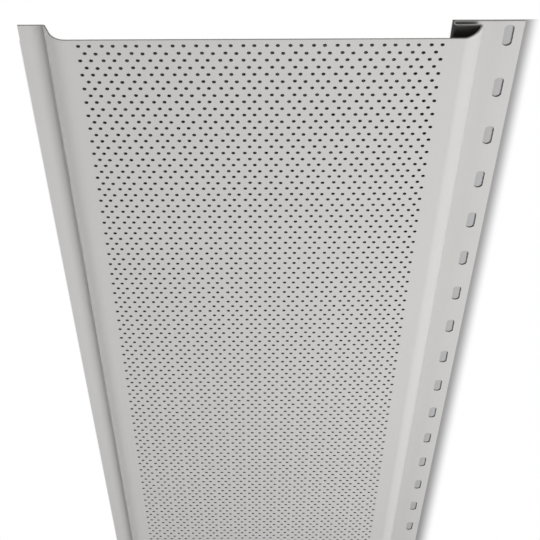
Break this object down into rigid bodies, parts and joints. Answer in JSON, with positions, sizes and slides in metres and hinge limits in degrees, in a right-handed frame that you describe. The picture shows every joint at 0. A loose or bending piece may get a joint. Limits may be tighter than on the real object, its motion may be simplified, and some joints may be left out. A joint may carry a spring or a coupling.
{
  "type": "vented soffit panel",
  "caption": "Flat perforated soffit panel in one folded sheet, with a tongue along one edge and a lock with a slotted nail hem along the other.",
  "frame": {"origin": "middle of the ground that the panel covers, lying face up on its nail hem and tongue", "axes": "+Z out of the perforated face, +Y along the panel to the end pictured near, +X across it from the tongue to the nail hem"},
  "size_m": [0.3546, 0.914, 0.0185],
  "materials": {
    "vinyl": "light warm grey rigid vinyl, coloured through, with a low satin sheen"
  },
  "bodies": {
    "root": {"panel": "vinyl"}
  },
  "joints": []
}
